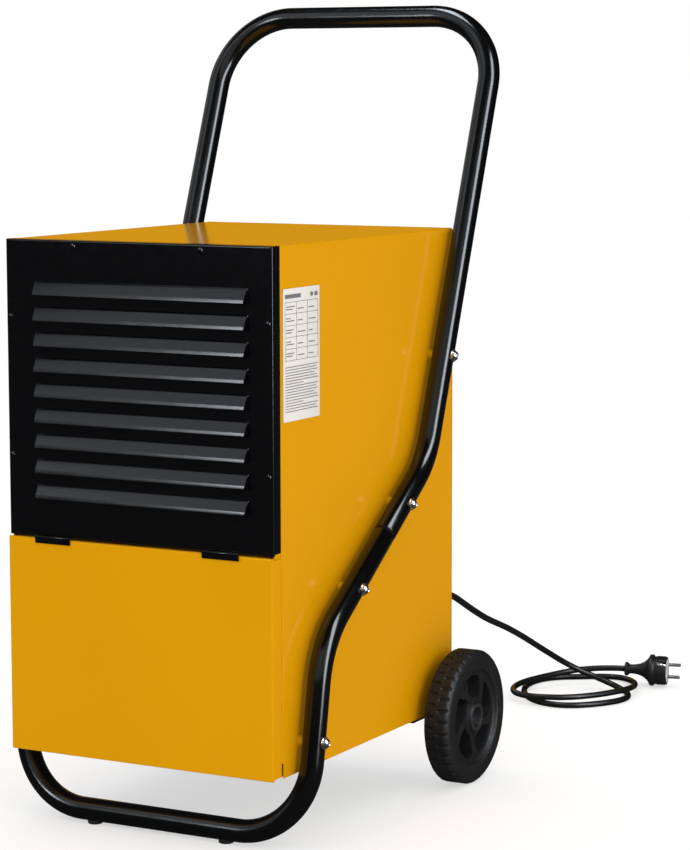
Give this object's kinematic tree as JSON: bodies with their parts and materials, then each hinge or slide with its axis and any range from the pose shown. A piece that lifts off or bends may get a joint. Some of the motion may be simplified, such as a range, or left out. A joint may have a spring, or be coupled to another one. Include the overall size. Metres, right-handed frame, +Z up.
{
  "type": "portable dehumidifier",
  "caption": "Upright sheet-metal dehumidifier with a louvred front, a lower tank door, a bent tube frame with handle loop and skid, rear wheels and a mains lead.",
  "frame": {"origin": "centre of the bounding box footprint of the machine without its lead, on the floor", "axes": "+Z up, +Y towards the rear, +X to the right of someone facing the louvred front"},
  "size_m": [0.4724, 1.0818, 0.9645],
  "materials": {
    "yellow_paint": "glossy powder coat",
    "black_paint": "satin powder coat",
    "black_tube": "gloss powder coat",
    "galvanised": "galvanised sheet",
    "aluminium_fins": "bare fins",
    "copper": "bare copper pipe",
    "bright_steel": "zinc plated",
    "wheel_plastic": "moulded, slightly worn",
    "black_plastic": "moulded",
    "tank_plastic": "blow-moulded",
    "filter_foam": "open foam",
    "rubber": "matt rubber",
    "label_white": "printed film without text",
    "signal_red": "translucent"
  },
  "bodies": {
    "cabinet": {"air_filter": "filter_foam", "axle": "bright_steel", "axle_bracket_left": "black_paint", "axle_bracket_right": "black_paint", "axle_retainer_left": "bright_steel", "axle_retainer_right": "bright_steel", "base_pan": "galvanised", "compressor": "black_paint", "condenser": "aluminium_fins", "control_panel": "black_plastic", "cord_coil": "rubber", "cord_strain_relief": "rubber", "cord_tail": "rubber", "discharge_pipe": "copper", "drip_tray": "black_plastic", "electrical_box": "black_plastic", "evaporator": "aluminium_fins", "fan_motor": "black_plastic", "fan_motor_bracket": "galvanised", "fan_shroud": "galvanised", "filter_drier": "copper", "frame_bolt_left_1": "bright_steel", "frame_bolt_left_2": "bright_steel", "frame_bolt_left_3": "bright_steel", "frame_bolt_left_4": "bright_steel", "frame_bolt_right_1": "bright_steel", "frame_bolt_right_2": "bright_steel", "frame_bolt_right_3": "bright_steel", "frame_bolt_right_4": "bright_steel", "handle_frame": "black_tube", "hour_meter": "black_plastic", "joint_sleeve_left": "black_tube", "joint_sleeve_right": "black_tube", "level_switch": "black_plastic", "louvre_panel": "black_paint", "lower_frame": "black_tube", "mid_deck": "galvanised", "power_cord": "rubber", "power_plug": "black_plastic", "rating_label": "label_white", "rear_panel": "yellow_paint", "shell_wrap": "yellow_paint", "skid_foot_left": "rubber", "skid_foot_right": "rubber", "suction_accumulator": "black_paint", "suction_pipe": "copper", "switch_bezel": "black_plastic", "tank_bay_bulkhead": "galvanised", "tank_full_lamp": "signal_red"},
    "door": {"front_door": "yellow_paint", "door_tab_left": "black_paint", "door_tab_right": "black_paint"},
    "tank": {"water_tank": "tank_plastic"},
    "float": {"tank_float": "black_plastic"},
    "fan": {"fan_rotor": "black_plastic"},
    "wheel_l": {"wheel_left": "wheel_plastic"},
    "wheel_r": {"wheel_right": "wheel_plastic"},
    "knob": {"humidistat_knob": "black_plastic"},
    "rocker": {"power_rocker": "signal_red"}
  },
  "joints": [
    {"name": "wheel_left_spin", "type": "hinge", "parent": "cabinet", "child": "wheel_l", "pos_m": [0, 0.14964, 0.0835], "axis": [1, 0, 0], "continuous": true},
    {"name": "wheel_right_spin", "type": "hinge", "parent": "cabinet", "child": "wheel_r", "pos_m": [0, 0.14964, 0.0835], "axis": [1, 0, 0], "continuous": true},
    {"name": "fan_spin", "type": "hinge", "parent": "cabinet", "child": "fan", "pos_m": [0, 0.14134, 0.52], "axis": [0, 1, 0], "continuous": true},
    {"name": "door_hinge", "type": "hinge", "parent": "cabinet", "child": "door", "pos_m": [0, -0.27706, 0.3456], "axis": [-1, 0, 0], "range_deg": [0, 90]},
    {"name": "tank_slide", "type": "slide", "parent": "cabinet", "child": "tank", "axis": [0, -1, 0], "range_m": [0, 0.15]},
    {"name": "float_pivot", "type": "hinge", "parent": "tank", "child": "float", "pos_m": [0.1, -0.06766, 0.24], "axis": [-1, 0, 0], "range_deg": [0, 20]},
    {"name": "humidistat_turn", "type": "hinge", "parent": "cabinet", "child": "knob", "pos_m": [-0.085, 0.18234, 0.286], "axis": [0, 1, 0], "range_deg": [-135, 135]},
    {"name": "rocker_tilt", "type": "hinge", "parent": "cabinet", "child": "rocker", "pos_m": [-0.025, 0.17984, 0.286], "axis": [0, 0, 1], "range_deg": [-6, 6], "stiffness_Nm_per_rad": 0.3}
  ],
  "couplings": [
    {"joint": "tank_slide", "follows": "door_hinge", "m_per_rad": 0.0954}
  ]
}
